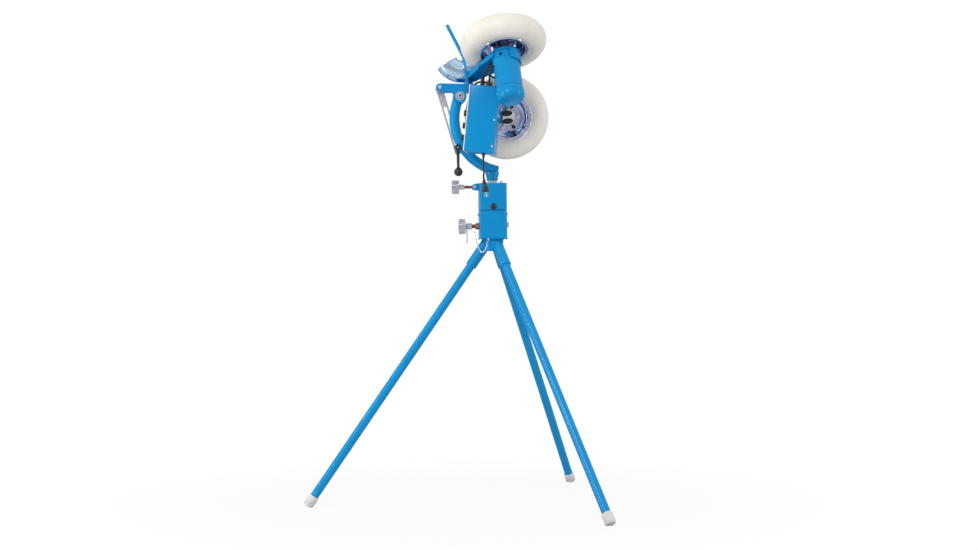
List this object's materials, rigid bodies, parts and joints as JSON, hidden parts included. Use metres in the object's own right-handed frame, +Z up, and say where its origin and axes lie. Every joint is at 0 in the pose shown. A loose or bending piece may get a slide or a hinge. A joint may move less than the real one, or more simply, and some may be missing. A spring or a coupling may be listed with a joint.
{
  "type": "two-wheel pitching machine",
  "caption": "Two-wheel baseball pitching machine: tilting head with canted pneumatic wheels, ball chute and control box on a swivel tripod.",
  "frame": {"origin": "on the floor, in the middle of the machine's bounding box, 0.1722 m behind the swivel axis", "axes": "+X is the way the ball leaves, +Z is up, +Y is to the left of the ball's flight"},
  "size_m": [1.0762, 1.2366, 1.7839],
  "materials": {
    "blue_paint": "gloss powder coat",
    "white_rubber": "matte off-white rubber",
    "foot_rubber": "matte light grey rubber",
    "zinc": "zinc plated",
    "polished_steel": "bright plated",
    "copper": "copper coloured thread",
    "black_plastic": "satin black",
    "cast_grey": "satin cast",
    "bronze": "sintered bearing metal"
  },
  "bodies": {
    "base": {"tripod_hub": "blue_paint", "leg_rear": "blue_paint", "leg_near": "blue_paint", "leg_far": "blue_paint", "foot_rear": "foot_rubber", "foot_near": "foot_rubber", "foot_far": "foot_rubber", "base_box": "blue_paint", "cross_bolt": "zinc", "lock_boss": "blue_paint", "safety_pin": "zinc", "pin_chain": "zinc", "post_case": "blue_paint", "bush_lower": "bronze", "bush_upper": "bronze", "bearing_flange": "zinc", "screw_rear_near": "zinc", "screw_front_near": "zinc", "screw_rear_far": "zinc", "screw_front_far": "zinc", "post_plug": "black_plastic", "adjuster_clevis": "blue_paint", "adjuster_bolt": "zinc", "adjuster_screw": "copper"},
    "lock_knob_body": {"lock_screw": "copper", "lock_knob": "cast_grey"},
    "adjuster_knob_body": {"adjuster_knob": "cast_grey"},
    "yoke": {"yoke_arm": "blue_paint", "swivel_shaft": "zinc", "clamp_bolt": "zinc"},
    "clamp_lever_body": {"clamp_lever": "black_plastic"},
    "head": {"tilt_bracket": "blue_paint", "pivot_bolt": "zinc", "pivot_nut": "zinc", "link_pin": "zinc", "face_plate": "blue_paint", "ball_chute": "polished_steel", "chute_screw_upper": "zinc", "chute_screw_lower": "zinc", "handle_bar": "blue_paint", "upper_arm": "blue_paint", "upper_motor": "blue_paint", "lower_arm": "blue_paint", "lower_motor": "blue_paint", "control_box": "blue_paint", "control_panel": "zinc", "box_bracket": "blue_paint", "motor_cable_upper": "black_plastic", "motor_cable_lower": "black_plastic"},
    "link": {"tilt_link": "zinc"},
    "upper_wheel": {"upper_shaft": "zinc", "upper_rim": "polished_steel", "upper_tyre": "white_rubber"},
    "lower_wheel": {"lower_shaft": "zinc", "lower_rim": "polished_steel", "lower_tyre": "white_rubber"},
    "cord": {"power_cord": "black_plastic"},
    "speed_dial_upper_body": {"speed_dial_upper": "black_plastic"},
    "speed_dial_lower_body": {"speed_dial_lower": "black_plastic"},
    "power_dial_body": {"power_dial": "black_plastic"}
  },
  "joints": [
    {"name": "lock_screw_turn", "type": "hinge", "parent": "base", "child": "lock_knob_body", "pos_m": [0.10217, 0, 1.0305], "axis": [-1, 0, 0], "range_deg": [0, 360]},
    {"name": "adjuster_turn", "type": "hinge", "parent": "base", "child": "adjuster_knob_body", "pos_m": [0.04217, 0, 1.1765], "axis": [-1, 0, 0], "range_deg": [0, 360]},
    {"name": "pan", "type": "hinge", "parent": "base", "child": "yoke", "pos_m": [0.17217, 0, 1.188], "axis": [0, 0, 1], "range_deg": [-45, 45]},
    {"name": "clamp_turn", "type": "hinge", "parent": "yoke", "child": "clamp_lever_body", "pos_m": [0.04437, 0, 1.3222], "axis": [0, -1, 0], "range_deg": [-90, 35]},
    {"name": "tilt", "type": "hinge", "parent": "yoke", "child": "head", "pos_m": [0.05417, 0, 1.512], "axis": [0, -1, 0], "range_deg": [-5, 30]},
    {"name": "link_swing", "type": "hinge", "parent": "head", "child": "link", "pos_m": [-0.01983, 0, 1.5446], "axis": [0, -1, 0], "range_deg": [-26, 6]},
    {"name": "cord_hang", "type": "hinge", "parent": "head", "child": "cord", "pos_m": [0.1328, -0.13303, 1.29139], "axis": [0, -1, 0], "range_deg": [-31, 6]},
    {"name": "upper_wheel_spin", "type": "hinge", "parent": "head", "child": "upper_wheel", "pos_m": [0.20778, -0.16444, 1.68893], "axis": [0.0796, -0.4067, -0.9101], "continuous": true},
    {"name": "lower_wheel_spin", "type": "hinge", "parent": "head", "child": "lower_wheel", "pos_m": [0.22977, 0.01881, 1.43767], "axis": [-0.0091, 0.9945, 0.1041], "continuous": true},
    {"name": "speed_dial_upper_turn", "type": "hinge", "parent": "head", "child": "speed_dial_upper_body", "pos_m": [0.08595, -0.10446, 1.43913], "axis": [-0.9785, 0.1725, 0.1132], "range_deg": [0, 300]},
    {"name": "speed_dial_lower_turn", "type": "hinge", "parent": "head", "child": "speed_dial_lower_body", "pos_m": [0.08082, -0.10356, 1.39342], "axis": [-0.9785, 0.1725, 0.1132], "range_deg": [0, 300]},
    {"name": "power_dial_turn", "type": "hinge", "parent": "head", "child": "power_dial_body", "pos_m": [0.07591, -0.10269, 1.34971], "axis": [-0.9785, 0.1725, 0.1132], "range_deg": [0, 90]}
  ],
  "couplings": [
    {"joint": "link_swing", "follows": "tilt", "ratio": -0.82},
    {"joint": "cord_hang", "follows": "tilt", "ratio": -1}
  ]
}
